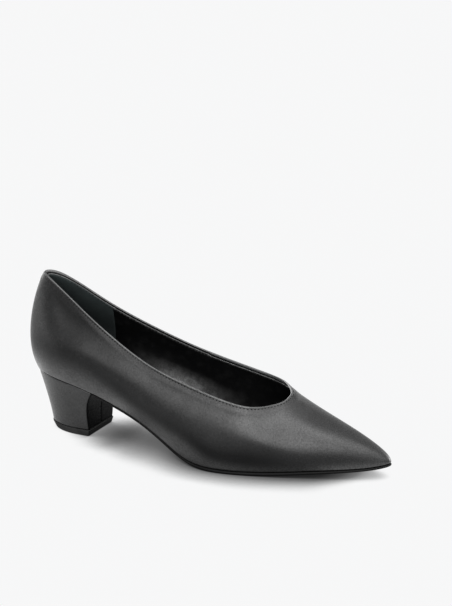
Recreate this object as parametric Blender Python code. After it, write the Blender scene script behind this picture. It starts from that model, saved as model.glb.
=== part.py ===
"""Pointed block-heel pump for the right foot: upper, sock insole, outsole, heel and top lift.

Metres, +Z up. +X runs to the toe, -Y is the outer side of the foot, and the floor is z = 0.
The tables below are read with x from the rear bulge of the upper and y from the heel's middle.
At the end the shoe is set over the origin, which lies on the floor under the middle of its box.
"""

import math
from collections import namedtuple

import bmesh
import bpy
import numpy as np

MM = 0.001

# Driving sizes of the shoe
LENGTH = 259.2 * MM
BALL_WIDTH = 72.0 * MM
SEAT_HEIGHT = 39.0 * MM
BACK_HEIGHT = 106.2 * MM
THROAT_HEIGHT = 45.5 * MM

# Thicknesses and fits
WALL = 1.8 * MM
RIM_CROWN = 0.6 * MM
SOLE_AT_BALL = 2.2 * MM
SOCK_THICKNESS = 1.8 * MM
LIFT_THICKNESS = 4.4 * MM
GAP = 0.3 * MM
BALL_HEIGHT = SOLE_AT_BALL + GAP

# Feather line, where the upper turns under. Along is in percent of the length, the half widths
# in percent of the ball width and the rise in percent of the climb from ball to seat. The wall
# leaves it at an angle above level and holds that way for its pull, and the sole under it is this
# thick, both in millimetres.
Feather = namedtuple("Feather", "name along lateral medial rise angle pull sole")
FEATHER_LINE = (
    Feather("back", 2.85, 0.0, 0.0, 100.0, 49, 20.0, 1.0),
    Feather("heel_quarter", 5.75, 20.0, 20.2, 104.5, 72, 23.5, 1.0),
    Feather("heel_side", 12.6, 32.0, 31.8, 102.0, 82, 32.0, 1.0),
    Feather("seat_front", 22.6, 34.8, 30.8, 87.5, 78, 30.0, 1.0),
    Feather("waist", 36.0, 33.2, 27.0, 48.0, 58, 25.0, 1.1),
    Feather("arch_front", 47.2, 41.1, 34.7, 9.5, 61.5, 30.0, 1.8),
    Feather("ball", 57.2, 52.9, 46.5, 0.0, 85, 26.0, 2.2),
    Feather("fore_ball", 69.8, 45.0, 49.3, 0.4, 83, 25.5, 2.2),
    Feather("toe_side", 82.5, 29.9, 33.3, 7.0, 74.5, 17.0, 1.9),
    Feather("toe_near", 94.7, 11.8, 16.8, 14.5, 88.5, 17.5, 1.6),
    Feather("toe_tip", 100.0, -3.3, 3.3, 21.0, 82.5, 10.5, 1.5),
)

# Topline, the edge of the opening. Heights are in percent of the climb from throat to back.
Topline = namedtuple("Topline", "name along lateral medial lateral_rise medial_rise angle pull")
TOPLINE = (
    Topline("back", 4.1, 0.0, 0.0, 100.4, 100.4, 118, 19.5),
    Topline("heel_quarter", 7.1, 8.6, 9.2, 95.0, 98.3, 101, 10.0),
    Topline("heel_side", 14.5, 16.6, 17.1, 78.4, 80.6, 100.5, 26.0),
    Topline("seat_front", 23.6, 24.7, 24.4, 56.4, 58.2, 109.5, 18.5),
    Topline("waist", 36.0, 33.2, 32.8, 30.4, 34.6, 115.5, 18.0),
    Topline("arch_front", 46.7, 38.8, 38.2, 15.3, 18.8, 106, 14.0),
    Topline("ball", 58.2, 40.7, 41.0, 3.2, 6.9, 112.5, 13.0),
    Topline("fore_ball", 66.6, 37.2, 36.9, -3.2, 1.0, 113, 21.5),
    Topline("toe_side", 71.0, 20.7, 20.4, -4.3, 1.7, 140, 20.5),
    Topline("toe_near", 73.1, 8.3, 7.3, -2.5, 1.4, 145.5, 27.0),
    Topline("throat", 73.4, -0.8, 0.8, 0.0, 0.0, 148, 29.5),
)

# How finely the loops, walls and plates are cut, welded and shaded
STEPS_PER_ROW = 6
WALL_ROWS = 12
RIM_ANGLES = (45, 90, 135)
PLACES_ACROSS = 4
WELD = 0.001 * MM
SHARP_DEGREES = 40

# Heel: its breast stands at the seat_front row, and its sides close in towards the top lift
BREAST_STATION = 3 * STEPS_PER_ROW
HEEL_INSET = 0.2 * MM
HEEL_DEPTHS = (0.0, 0.06, 0.13, 0.22, 0.34, 0.5, 0.68, 0.85, 1.0)
HEEL_FOOT_BACK = 17.0 * MM
HEEL_FOOT_FRONT = 51.8 * MM
HEEL_FOOT_HALF_WIDTH = 16.5 * MM
HEEL_ROUND_SHARE = 0.75
BACK_SWEEP = 1.25
BREAST_SWEEP = 3.3
SIDE_SWEEP = 1.15
BREAST_SKEW = 0.8 * MM
LIFT_PROUD = 0.35 * MM
LIFT_TUCK = 0.45 * MM
LIFT_BACK_TUCK = 1.6 * MM

# Outsole and sock edges
SOLE_PROUD = 0.2 * MM
SOLE_WIDEST_SHARE = 0.3
SOLE_EDGE_ROUND = 0.7 * MM
SOCK_INSET = 2.6 * MM


def closed_curve(rows):
    """Points of a closed cubic through the rows, with no jump in its curvature."""
    rows = np.asarray(rows, float)
    count = len(rows)
    ahead = np.roll(rows, -1, axis=0)
    behind = np.roll(rows, 1, axis=0)
    spread = 4 * np.eye(count) + np.roll(np.eye(count), 1, axis=1) + np.roll(np.eye(count), -1, axis=1)
    slope = np.linalg.solve(spread, 3 * (ahead - behind))
    slope_ahead = np.roll(slope, -1, axis=0)
    points = []
    for i in range(count):
        for step in range(STEPS_PER_ROW):
            t = step / STEPS_PER_ROW
            near = (1 + 2 * t) * (1 - t) ** 2 * rows[i] + t * (1 - t) ** 2 * slope[i]
            far = t * t * (3 - 2 * t) * ahead[i] - t * t * (1 - t) * slope_ahead[i]
            points.append(near + far)
    return np.array(points)


def around(table, lateral_row, medial_row):
    """A closed loop from the back along the outer side to the toe, and home along the inner side."""
    outer_side = [lateral_row(row) for row in table]
    inner_side = [medial_row(row) for row in reversed(table[1:-1])]
    return closed_curve(outer_side + inner_side)


def outward(loop):
    """Level unit vectors that point away from the foot along a loop."""
    along = np.roll(loop, -1, axis=0) - np.roll(loop, 1, axis=0)
    across = np.stack([along[:, 1], -along[:, 0], np.zeros(len(loop))], axis=1)
    return across / np.linalg.norm(across, axis=1, keepdims=True)


def unit(vectors):
    return vectors / np.linalg.norm(vectors, axis=-1, keepdims=True)


def feather_loop():
    climb = SEAT_HEIGHT - BALL_HEIGHT

    def place(row, side):
        return row.along / 100 * LENGTH, side / 100 * BALL_WIDTH, BALL_HEIGHT + row.rise / 100 * climb

    return around(FEATHER_LINE, lambda row: place(row, -row.lateral), lambda row: place(row, row.medial))


def topline_loop():
    climb = BACK_HEIGHT - THROAT_HEIGHT

    def place(row, side, rise):
        return row.along / 100 * LENGTH, side / 100 * BALL_WIDTH, THROAT_HEIGHT + rise / 100 * climb

    return around(
        TOPLINE,
        lambda row: place(row, -row.lateral, row.lateral_rise),
        lambda row: place(row, row.medial, row.medial_rise),
    )


def wall_pulls(table, loop):
    """The way and the distance that the wall holds at one of its two edges."""
    settings = around(table, lambda row: (row.angle, row.pull), lambda row: (row.angle, row.pull))
    angle = np.radians(settings[:, :1])
    direction = outward(loop) * np.cos(angle) + np.array([0, 0, 1]) * np.sin(angle)
    return direction * settings[:, 1:] * MM


def footbed_height(x, feather):
    """Height of the upper's lower edge over a place along the shoe, the same on both sides."""
    half = feather[: len(feather) // 2 + 1]
    return np.interp(x, half[:, 0], half[:, 2])


def outer_wall(feather, topline):
    """Rings of the upper's outside, from the feather line up to the topline."""
    low_pull = feather + wall_pulls(FEATHER_LINE, feather)
    high_pull = topline - wall_pulls(TOPLINE, topline)
    rings = []
    for row in range(WALL_ROWS + 1):
        t = row / WALL_ROWS
        low = (1 - t) ** 3 * feather + 3 * t * (1 - t) ** 2 * low_pull
        high = 3 * t * t * (1 - t) * high_pull + t ** 3 * topline
        rings.append(low + high)
    return np.array(rings)


def upper_rings(feather, topline):
    """Outside, rounded rim and inside of the wall, as rings in one closed turn."""
    outside = outer_wall(feather, topline)
    up = unit(np.gradient(outside, axis=0))
    along = np.roll(outside, -1, axis=1) - np.roll(outside, 1, axis=1)
    normal = unit(np.cross(along, up))
    inside = outside - WALL * normal
    inside[0] = feather - outward(feather) * WALL
    inside[0, :, 2] = footbed_height(inside[0, :, 0], feather)
    middle = (outside[-1] + inside[-1]) / 2
    rim = []
    for degrees in RIM_ANGLES:
        turn = math.radians(degrees)
        rim.append(middle + math.cos(turn) * WALL / 2 * normal[-1] + math.sin(turn) * RIM_CROWN * up[-1])
    return list(outside) + rim + list(inside[::-1])


def finish(name, shell, material):
    """Merges the doubles, turns the faces outwards and makes the named object."""
    bmesh.ops.remove_doubles(shell, verts=shell.verts, dist=WELD)
    bmesh.ops.recalc_face_normals(shell, faces=shell.faces)
    mesh = bpy.data.meshes.new(name)
    shell.to_mesh(mesh)
    shell.free()
    mesh.shade_smooth()
    mesh.set_sharp_from_angle(angle=math.radians(SHARP_DEGREES))
    mesh.materials.append(material)
    piece = bpy.data.objects.new(name, mesh)
    bpy.context.scene.collection.objects.link(piece)
    return piece


def add_net(shell, net):
    """Quads over a net of points, in rows and columns."""
    corners = [[shell.verts.new(point) for point in row] for row in net]
    for row, next_row in zip(corners, corners[1:]):
        for i in range(len(row) - 1):
            shell.faces.new((row[i], row[i + 1], next_row[i + 1], next_row[i]))


def turned_wall(name, rings, material):
    """A solid whose rings close round the shoe, and whose last ring meets the first."""
    shell = bmesh.new()
    net = np.array(rings + rings[:1])
    add_net(shell, np.concatenate([net, net[:, :1]], axis=1))
    return finish(name, shell, material)


def plate(name, points, material):
    """A solid from points in stations along the shoe, rows downwards and places across."""
    shell = bmesh.new()
    for net in (points[:, 0], points[:, -1], points[:, :, 0], points[:, :, -1], points[0], points[-1]):
        add_net(shell, net)
    return finish(name, shell, material)


def sides(loop, first, last):
    """The outer and the inner side of a loop, from one station to another."""
    places = np.arange(first, last + 1)
    return loop[places], loop[-places]


def across(lateral, medial):
    """Places from the outer to the inner side, as one more axis of the points."""
    shares = np.linspace(0, 1, PLACES_ACROSS + 1)[:, None]
    return lateral[..., None, :] * (1 - shares) + medial[..., None, :] * shares


def sock_points(feather):
    inset = feather - outward(feather) * SOCK_INSET
    lateral, medial = sides(inset, 0, len(feather) // 2)
    rows = []
    for height in (SOCK_THICKNESS, 0):
        row = across(lateral, medial)
        row[..., 2] = footbed_height(row[..., 0], feather) + height
        rows.append(row)
    return np.stack(rows, axis=1)


def sole_thickness(x):
    """Thickness of the outsole over a place along the shoe, thin in the waist and full at the ball."""
    places = [row.along / 100 * LENGTH for row in FEATHER_LINE]
    return np.interp(x, places, [row.sole * MM for row in FEATHER_LINE])


def outsole_points(feather):
    """Top edge, the edge's widest line and the bottom, which is flat on the floor at the ball."""
    rows = []
    for proud, share in ((0, 0), (SOLE_PROUD, SOLE_WIDEST_SHARE), (SOLE_PROUD - SOLE_EDGE_ROUND, 1)):
        edge = feather + outward(feather) * proud
        lateral, medial = sides(edge, BREAST_STATION, len(feather) // 2)
        lateral[0, 0] = feather[BREAST_STATION, 0] + GAP
        medial[0, 0] = lateral[0, 0] + BREAST_SKEW
        row = across(lateral, medial)
        top = footbed_height(row[..., 0], feather) - GAP
        row[..., 2] = np.maximum(top - share * sole_thickness(row[..., 0]), (1 - share) * top)
        rows.append(row)
    return np.stack(rows, axis=1)


def heel_foot(seat_share, proud, back_tuck):
    """Half outline of the heel's foot: a rounded back, straight sides and a straight breast."""
    back = HEEL_FOOT_BACK - proud + back_tuck
    front = HEEL_FOOT_FRONT + proud
    half_width = HEEL_FOOT_HALF_WIDTH + proud
    from_round = np.clip(1 - seat_share / HEEL_ROUND_SHARE, 0, 1)
    width = half_width * np.sqrt(1 - from_round ** 2)
    return back + seat_share * (front - back), width


def seat_shares(feather):
    """How far each station of the seat lies from the back to the breast, from 0 to 1."""
    x = feather[: BREAST_STATION + 1, 0]
    return (x - x[0]) / (x[-1] - x[0])


def heel_points(feather):
    """The seat's outline drawn in to the heel's foot, with a hollow back and a swept breast."""
    seat = feather - outward(feather) * HEEL_INSET
    lateral, medial = sides(seat, 0, BREAST_STATION)
    seat_share = seat_shares(feather)
    foot_x, foot_y = heel_foot(seat_share, 0, 0)
    sweep = BACK_SWEEP + (BREAST_SWEEP - BACK_SWEEP) * seat_share ** 3
    rows = []
    for depth in HEEL_DEPTHS:
        slide = 1 - (1 - depth) ** sweep
        draw_in = 1 - (1 - depth) ** SIDE_SWEEP
        edges = []
        for side, sign, skew in ((lateral, -1, 0), (medial, 1, BREAST_SKEW)):
            seat_x = side[:, 0] + skew * seat_share
            x = seat_x + (foot_x + skew * seat_share - seat_x) * slide
            y = side[:, 1] + (sign * foot_y - side[:, 1]) * draw_in
            edges.append(np.stack([x, y, seat_x], axis=1))
        row = across(*edges)
        top = footbed_height(row[..., 2], feather) - GAP
        row[..., 2] = top + depth * (LIFT_THICKNESS + GAP - top)
        rows.append(row)
    return np.stack(rows, axis=1)


def lift_points(feather):
    seat_share = seat_shares(feather)
    rows = []
    for height, proud, back_tuck in ((LIFT_THICKNESS, LIFT_PROUD, 0), (0, -LIFT_TUCK, LIFT_BACK_TUCK)):
        x, half_width = heel_foot(seat_share, proud, back_tuck)
        z = np.full_like(x, height)
        lateral = np.stack([x, -half_width, z], axis=1)
        medial = np.stack([x + BREAST_SKEW * seat_share, half_width, z], axis=1)
        rows.append(across(lateral, medial))
    return np.stack(rows, axis=1)


def finish_material(name, colour, roughness):
    material = bpy.data.materials.new(name)
    material.use_nodes = True
    shader = material.node_tree.nodes["Principled BSDF"]
    shader.inputs["Base Color"].default_value = (*colour, 1)
    shader.inputs["Roughness"].default_value = roughness
    shader.inputs["Metallic"].default_value = 0
    return material


def set_over_origin(pieces):
    """Parents the pieces to an empty that puts the middle of their box over the origin."""
    corners = np.array([corner for piece in pieces for corner in piece.bound_box])
    middle = (corners.min(axis=0) + corners.max(axis=0)) / 2
    shoe = bpy.data.objects.new("shoe", None)
    shoe.location = (-middle[0], -middle[1], 0)
    bpy.context.scene.collection.objects.link(shoe)
    for piece in pieces:
        piece.parent = shoe


for leftover in list(bpy.data.objects):
    bpy.data.objects.remove(leftover)

upper_leather = finish_material("upper_leather", (0.022, 0.023, 0.024), 0.4)
sock_leather = finish_material("sock_leather", (0.016, 0.016, 0.017), 0.55)
sole_sheet = finish_material("sole_sheet", (0.012, 0.012, 0.012), 0.6)
heel_leather = finish_material("heel_leather", (0.022, 0.023, 0.024), 0.42)
lift_rubber = finish_material("lift_rubber", (0.014, 0.014, 0.014), 0.75)

feather_line = feather_loop()
set_over_origin([
    turned_wall("upper", upper_rings(feather_line, topline_loop()), upper_leather),
    plate("insole", sock_points(feather_line), sock_leather),
    plate("outsole", outsole_points(feather_line), sole_sheet),
    plate("heel", heel_points(feather_line), heel_leather),
    plate("top_lift", lift_points(feather_line), lift_rubber),
])
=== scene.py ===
import math
from collections import namedtuple

import bmesh
import bpy
import numpy as np
from mathutils import Matrix, Vector


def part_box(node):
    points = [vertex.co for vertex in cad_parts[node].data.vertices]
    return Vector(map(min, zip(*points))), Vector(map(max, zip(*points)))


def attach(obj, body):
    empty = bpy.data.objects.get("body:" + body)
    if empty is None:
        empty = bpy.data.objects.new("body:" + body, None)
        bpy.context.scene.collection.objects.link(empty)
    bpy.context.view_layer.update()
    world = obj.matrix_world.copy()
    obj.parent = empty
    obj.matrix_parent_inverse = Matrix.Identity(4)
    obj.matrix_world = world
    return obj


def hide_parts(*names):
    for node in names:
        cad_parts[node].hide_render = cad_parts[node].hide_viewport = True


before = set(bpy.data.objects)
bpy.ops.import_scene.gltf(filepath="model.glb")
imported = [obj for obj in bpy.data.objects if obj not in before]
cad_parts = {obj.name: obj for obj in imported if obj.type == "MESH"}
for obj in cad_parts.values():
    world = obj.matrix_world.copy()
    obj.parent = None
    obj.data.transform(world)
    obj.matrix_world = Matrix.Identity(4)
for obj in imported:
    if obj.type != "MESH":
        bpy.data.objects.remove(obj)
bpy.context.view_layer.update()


# Upper leather
# One piece of charcoal calf pulled over the last, skived and folded at the topline and turned
# under at the feather line, where sole and heel are stuck on. It is closed by a seam at the back
# and another on the inner side of the waist.

MM = 0.001
LENGTH = 259.2 * MM
BALL_WIDTH = 72.0 * MM
SEAT_HEIGHT = 39.0 * MM
BALL_HEIGHT = 2.5 * MM
BACK_HEIGHT = 106.2 * MM
THROAT_HEIGHT = 45.5 * MM

# Along is in percent of the length, half widths in percent of the ball width, the rise in percent
# of the climb from ball to seat, the wall's angle in degrees, and its pull and the sole's thickness
# in millimetres.
Feather = namedtuple("Feather", "name along lateral medial rise angle pull sole")
FEATHER_LINE = (
    Feather("back", 2.85, 0.0, 0.0, 100.0, 49, 20.0, 1.0),
    Feather("heel_quarter", 5.75, 20.0, 20.2, 104.5, 72, 23.5, 1.0),
    Feather("heel_side", 12.6, 32.0, 31.8, 102.0, 82, 32.0, 1.0),
    Feather("seat_front", 22.6, 34.8, 30.8, 87.5, 78, 30.0, 1.0),
    Feather("waist", 36.0, 33.2, 27.0, 48.0, 58, 25.0, 1.1),
    Feather("arch_front", 47.2, 41.1, 34.7, 9.5, 61.5, 30.0, 1.8),
    Feather("ball", 57.2, 52.9, 46.5, 0.0, 85, 26.0, 2.2),
    Feather("fore_ball", 69.8, 45.0, 49.3, 0.4, 83, 25.5, 2.2),
    Feather("toe_side", 82.5, 29.9, 33.3, 7.0, 74.5, 17.0, 1.9),
    Feather("toe_near", 94.7, 11.8, 16.8, 14.5, 88.5, 17.5, 1.6),
    Feather("toe_tip", 100.0, -3.3, 3.3, 21.0, 82.5, 10.5, 1.5),
)

# The topline's rise is in percent of the climb from throat to back.
Topline = namedtuple("Topline", "name along lateral medial lateral_rise medial_rise angle pull")
TOPLINE = (
    Topline("back", 4.1, 0.0, 0.0, 100.4, 100.4, 118, 19.5),
    Topline("heel_quarter", 7.1, 8.6, 9.2, 95.0, 98.3, 101, 10.0),
    Topline("heel_side", 14.5, 16.6, 17.1, 78.4, 80.6, 100.5, 26.0),
    Topline("seat_front", 23.6, 24.7, 24.4, 56.4, 58.2, 109.5, 18.5),
    Topline("waist", 36.0, 33.2, 32.8, 30.4, 34.6, 115.5, 18.0),
    Topline("arch_front", 46.7, 38.8, 38.2, 15.3, 18.8, 106, 14.0),
    Topline("ball", 58.2, 40.7, 41.0, 3.2, 6.9, 112.5, 13.0),
    Topline("fore_ball", 66.6, 37.2, 36.9, -3.2, 1.0, 113, 21.5),
    Topline("toe_side", 71.0, 20.7, 20.4, -4.3, 1.7, 140, 20.5),
    Topline("toe_near", 73.1, 8.3, 7.3, -2.5, 1.4, 145.5, 27.0),
    Topline("throat", 73.4, -0.8, 0.8, 0.0, 0.0, 148, 29.5),
)

STEPS_PER_ROW = 24
AROUND = 2 * (len(FEATHER_LINE) - 1) * STEPS_PER_ROW
HALF = AROUND // 2
WALL_SAMPLES = 301
SLOPE_STEP = 0.004
MERGE_REACH = 0.0005 * MM


def closed_curve(rows):
    """Points of a closed cubic through the rows, with no jump in its curvature."""
    rows = np.asarray(rows, float)
    count = len(rows)
    ahead = np.roll(rows, -1, axis=0)
    behind = np.roll(rows, 1, axis=0)
    spread = 4 * np.eye(count) + np.roll(np.eye(count), 1, axis=1) + np.roll(np.eye(count), -1, axis=1)
    slope = np.linalg.solve(spread, 3 * (ahead - behind))
    slope_ahead = np.roll(slope, -1, axis=0)
    t = (np.arange(STEPS_PER_ROW) / STEPS_PER_ROW)[None, :, None]
    near = (1 + 2 * t) * (1 - t) ** 2 * rows[:, None] + t * (1 - t) ** 2 * slope[:, None]
    far = t * t * (3 - 2 * t) * ahead[:, None] - t * t * (1 - t) * slope_ahead[:, None]
    return (near + far).reshape(count * STEPS_PER_ROW, -1)


def around(table, lateral_row, medial_row):
    """A closed loop from the back along the outer side to the toe, and home along the inner side."""
    outer_rows = [lateral_row(row) for row in table]
    inner_rows = [medial_row(row) for row in reversed(table[1:-1])]
    return closed_curve(outer_rows + inner_rows)


def unit(vectors):
    """The vectors at a length of 1."""
    return vectors / np.linalg.norm(vectors, axis=-1, keepdims=True)


def outward(loop):
    """Level unit vectors that point away from the foot along a loop."""
    along = np.roll(loop, -1, axis=0) - np.roll(loop, 1, axis=0)
    return unit(np.stack([along[:, 1], -along[:, 0], np.zeros(len(loop))], axis=1))


def feather_place(row, side):
    """A point of the feather line, from its percentages."""
    climb = SEAT_HEIGHT - BALL_HEIGHT
    return row.along / 100 * LENGTH, side / 100 * BALL_WIDTH, BALL_HEIGHT + row.rise / 100 * climb


def topline_place(row, side, rise):
    """A point of the topline, from its percentages."""
    climb = BACK_HEIGHT - THROAT_HEIGHT
    return row.along / 100 * LENGTH, side / 100 * BALL_WIDTH, THROAT_HEIGHT + rise / 100 * climb


def wall_pulls(table, loop):
    """The way and the distance that the wall holds at one of its two edges."""
    settings = around(table, lambda row: (row.angle, row.pull), lambda row: (row.angle, row.pull))
    angle = np.radians(settings[:, :1])
    return (outward(loop) * np.cos(angle) + np.array([0, 0, 1]) * np.sin(angle)) * settings[:, 1:] * MM


feather = around(
    FEATHER_LINE,
    lambda row: feather_place(row, -row.lateral),
    lambda row: feather_place(row, row.medial),
)
topline = around(
    TOPLINE,
    lambda row: topline_place(row, -row.lateral, row.lateral_rise),
    lambda row: topline_place(row, row.medial, row.medial_rise),
)


def wall_at(share):
    """Points on the outside of the last, at shares of the way from feather line to topline."""
    t = share[..., None]
    low = (1 - t) ** 3 * feather + 3 * t * (1 - t) ** 2 * (feather + wall_pulls(FEATHER_LINE, feather))
    high = 3 * t * t * (1 - t) * (topline - wall_pulls(TOPLINE, topline)) + t ** 3 * topline
    return low + high


# The last is set where the frame's own upper stands
shares = np.linspace(0, 1, WALL_SAMPLES)[:, None] * np.ones(AROUND)
wall = wall_at(shares)
low_corner, high_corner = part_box("upper")
offset = (np.array(low_corner) + np.array(high_corner) - wall.min(axis=(0, 1)) - wall.max(axis=(0, 1))) / 2
offset[2] = 0
feather += offset
topline += offset
steps = np.linalg.norm(np.diff(wall, axis=0), axis=2)
climbed = np.concatenate([np.zeros((1, AROUND)), np.cumsum(steps, axis=0)])
wall_length = climbed[-1]

RIM_ZONE = 14 * MM
RIM_RISE = 0.55 * MM
LOW_ZONE = 4 * MM
PAD_REACH = 13 * MM
PAD_DROP = 12 * MM
PAD_SWELL = 0.85


def above_feather(distance):
    """Climb of a row that lies at one distance above the feather line all round."""
    return np.full(AROUND, distance)


def below_topline(distance):
    """Climb of a row that lies below the crest of the folded edge, which stands over the topline.
    Given a climb, it is the distance below the crest."""
    return wall_length + RIM_RISE - distance


def between(share):
    """A share of the plain wall between the two edge zones."""
    return LOW_ZONE + share * (wall_length - RIM_ZONE - LOW_ZONE)


def wall_frame(climb):
    """Points and outward normals on the wall for rows of distances above the feather line."""
    share = np.stack([np.interp(climb[:, i], climbed[:, i], shares[:, i]) for i in range(AROUND)], axis=1)
    up = unit(wall_at(np.minimum(share + SLOPE_STEP, 1)) - wall_at(np.maximum(share - SLOPE_STEP, 0)))
    points = wall_at(share) + np.maximum(climb - wall_length, 0)[..., None] * up
    along = np.roll(points, -1, axis=1) - np.roll(points, 1, axis=1)
    return points, unit(np.cross(along, up))


def hump(distance, centre, width):
    """A soft bell of height 1, for grooves, ridges and swellings."""
    return np.exp(-(((distance - centre) / width) ** 2))


def ramp(value, start, end):
    """0 at the start and before it, 1 at the end and past it, and a straight rise between them."""
    return np.clip((value - start) / (end - start), 0, 1)


def padded(depth, climb):
    """Depths in from the outside, which grow at the back of the topline, where a thin pad lies inside."""
    back = hump(topline[:, 0], topline[0, 0], PAD_REACH)
    top = hump(below_topline(climb), 0, PAD_DROP)
    return depth * (1 + PAD_SWELL * back * top)


def make_piece(name, shell):
    """The named object of a finished mesh, smooth all over."""
    mesh = bpy.data.meshes.new(name)
    shell.to_mesh(mesh)
    shell.free()
    mesh.shade_smooth()
    piece = bpy.data.objects.new(name, mesh)
    bpy.context.scene.collection.objects.link(piece)
    return piece


def ring_shell(name, points, marks):
    """A closed wall from rings of points that turn once through the wall and back to the first ring."""
    rows = len(points)
    shell = bmesh.new()
    layers = {key: shell.verts.layers.float.new(key) for key in marks}
    bmesh.ops.create_grid(shell, x_segments=AROUND, y_segments=rows, size=0.5)
    for vert in shell.verts:
        i = round((vert.co.x + 0.5) * AROUND) % AROUND
        j = round((vert.co.y + 0.5) * rows) % rows
        vert.co = points[j, i]
        for key, layer in layers.items():
            vert[layer] = marks[key][j, i]
    bmesh.ops.remove_doubles(shell, verts=shell.verts, dist=MERGE_REACH)
    bmesh.ops.recalc_face_normals(shell, faces=shell.faces)
    return make_piece(name, shell)


# Fold, seams and soft swellings of the leather
FOLD_RADIUS = 0.7 * MM
FOLD_ROLL = 1.5 * MM
STITCH_BELOW = 1.7 * MM
STITCH_GROOVE = 0.05 * MM
LASTED_EDGE = 0.9 * MM
LEATHER = 1.0 * MM
SEAM_WIDTH = 0.45 * MM
SEAM_DEPTH = 0.22 * MM
SEAM_LIP = 0.06 * MM
SEAM_LIP_AWAY = 1.3 * MM
SEAM_LIP_WIDTH = 0.8 * MM
BACK_SEAM_END = 40 * MM
INNER_SEAM_ALONG = 120 * MM
INNER_SEAM_STEP = 1.5 * MM
OUT_OF_REACH = 1.0

on_inner_side = np.arange(AROUND) > HALF
topline_along = topline[:, 0] - offset[0]
past_seam = ramp(topline_along, INNER_SEAM_ALONG, INNER_SEAM_ALONG + INNER_SEAM_STEP) * on_inner_side

# A groove or ridge that runs round the whole topline
Ridge = namedtuple("Ridge", "name below reach height")
RIDGES = (
    Ridge("stitch_groove", STITCH_BELOW, 0.34 * MM, -STITCH_GROOVE),
    Ridge("fold_edge", 0.8 * MM, 0.45 * MM, 0.08 * MM),
    Ridge("turned_under_end", 4.6 * MM, 2.2 * MM, 0.22 * MM),
)

# A soft trough or ridge of the leather, at a place along the shoe and below the topline
Crease = namedtuple("Crease", "name inner along below along_reach below_reach height")
CREASES = (
    Crease("ankle_hollow", False, 62 * MM, 12 * MM, 16 * MM, 9 * MM, -0.35 * MM),
    Crease("waist_swell", False, 100 * MM, 10 * MM, 22 * MM, 8 * MM, 0.30 * MM),
    Crease("ball_hollow", False, 150 * MM, 22 * MM, 20 * MM, 9 * MM, -0.25 * MM),
    Crease("inner_waist_hollow", True, 92 * MM, 16 * MM, 20 * MM, 9 * MM, -0.35 * MM),
    Crease("inner_ball_swell", True, 150 * MM, 14 * MM, 22 * MM, 9 * MM, 0.25 * MM),
)


def leather_relief(points, climb):
    """How far the leather stands proud of the last, row by row."""
    below = below_topline(climb)
    x = points[..., 0] - offset[0]
    y = points[..., 1] - offset[1]
    relief = np.zeros_like(x)
    for ridge in RIDGES:
        relief += ridge.height * hump(below, ridge.below, ridge.reach)
    back_seam = np.abs(y) + np.where(x > BACK_SEAM_END, OUT_OF_REACH, 0)
    inner_seam = np.abs(x - INNER_SEAM_ALONG) + np.where(on_inner_side, 0, OUT_OF_REACH)
    for away in (back_seam, inner_seam):
        relief += SEAM_LIP * hump(away, SEAM_LIP_AWAY, SEAM_LIP_WIDTH)
        relief -= SEAM_DEPTH * hump(away, 0, SEAM_WIDTH)
    for crease in CREASES:
        near = hump(x, crease.along, crease.along_reach) * hump(below, crease.below, crease.below_reach)
        relief += np.where(on_inner_side == crease.inner, crease.height * near, 0)
    return relief


# Rows of the wall's section, in millimetres: up from the feather line, or down from the fold's crest
LASTED_RISES = (0.0, 0.12, 0.3, 0.55, 0.9, 1.5, 2.4)
WALL_ROWS = 41
RIM_DROPS = (
    12.5, 11, 9.5, 8.2, 7.2, 6.4, 5.6, 5, 4.4, 3.8, 3.3, 2.9,
    2.5, 2.2, 2.05, 1.95, 1.85, 1.75, 1.65, 1.55, 1.4, 1.2, 1.0,
)
FOLD_STEP_DEGREES = 15
FOLD_ROWS_IN_RELIEF = 3
TURNED_UNDER_DROPS = (1.9, 2.7, 4.0)
TURNED_UNDER_END = 6 * MM
INSIDE_SHARES = (1, 0.75, 0.5, 0.25, 0)
INSIDE_RISE = 0.4 * MM

# Each row of the section: its distance above the feather line, and its depth in from the outside
section = []
for rise in LASTED_RISES:
    inset = LASTED_EDGE - math.sqrt(max(0, LASTED_EDGE ** 2 - max(0, LASTED_EDGE - rise * MM) ** 2))
    section.append((above_feather(rise * MM), inset))
for share in np.linspace(0, 1, WALL_ROWS):
    section.append((between(share), 0))
for drop in RIM_DROPS:
    section.append((below_topline(drop * MM), 0))
rows_in_relief = len(section) + FOLD_ROWS_IN_RELIEF
for degrees in range(0, 181, FOLD_STEP_DEGREES):
    turn = math.radians(degrees)
    drop = (FOLD_RADIUS if degrees <= 90 else FOLD_ROLL) * (1 - math.sin(turn))
    section.append((below_topline(drop), FOLD_RADIUS * (1 - math.cos(turn))))
for drop in TURNED_UNDER_DROPS:
    section.append((below_topline(drop * MM), 2 * FOLD_RADIUS))
section.append((below_topline(TURNED_UNDER_END), LEATHER))
for share in INSIDE_SHARES:
    section.append((between(share), LEATHER))
section.append((above_feather(INSIDE_RISE), LEATHER + LASTED_EDGE))

climb = np.array([row[0] for row in section])
depth = padded(np.array([row[1] for row in section])[:, None], climb)
points, normals = wall_frame(climb)
in_relief = np.arange(len(section))[:, None] < rows_in_relief
relief = np.where(in_relief, leather_relief(points, climb), 0)
points = points + (relief - depth)[..., None] * normals

# Where the rear, fore part and heel end start and are full, and the middle and reach of the waist
REAR_ZONE = (150 * MM, 60 * MM)
FORE_ZONE = (175 * MM, 210 * MM)
HEEL_END_ZONE = (95 * MM, 65 * MM)
WAIST_ZONE = (122 * MM, 23 * MM)

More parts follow.
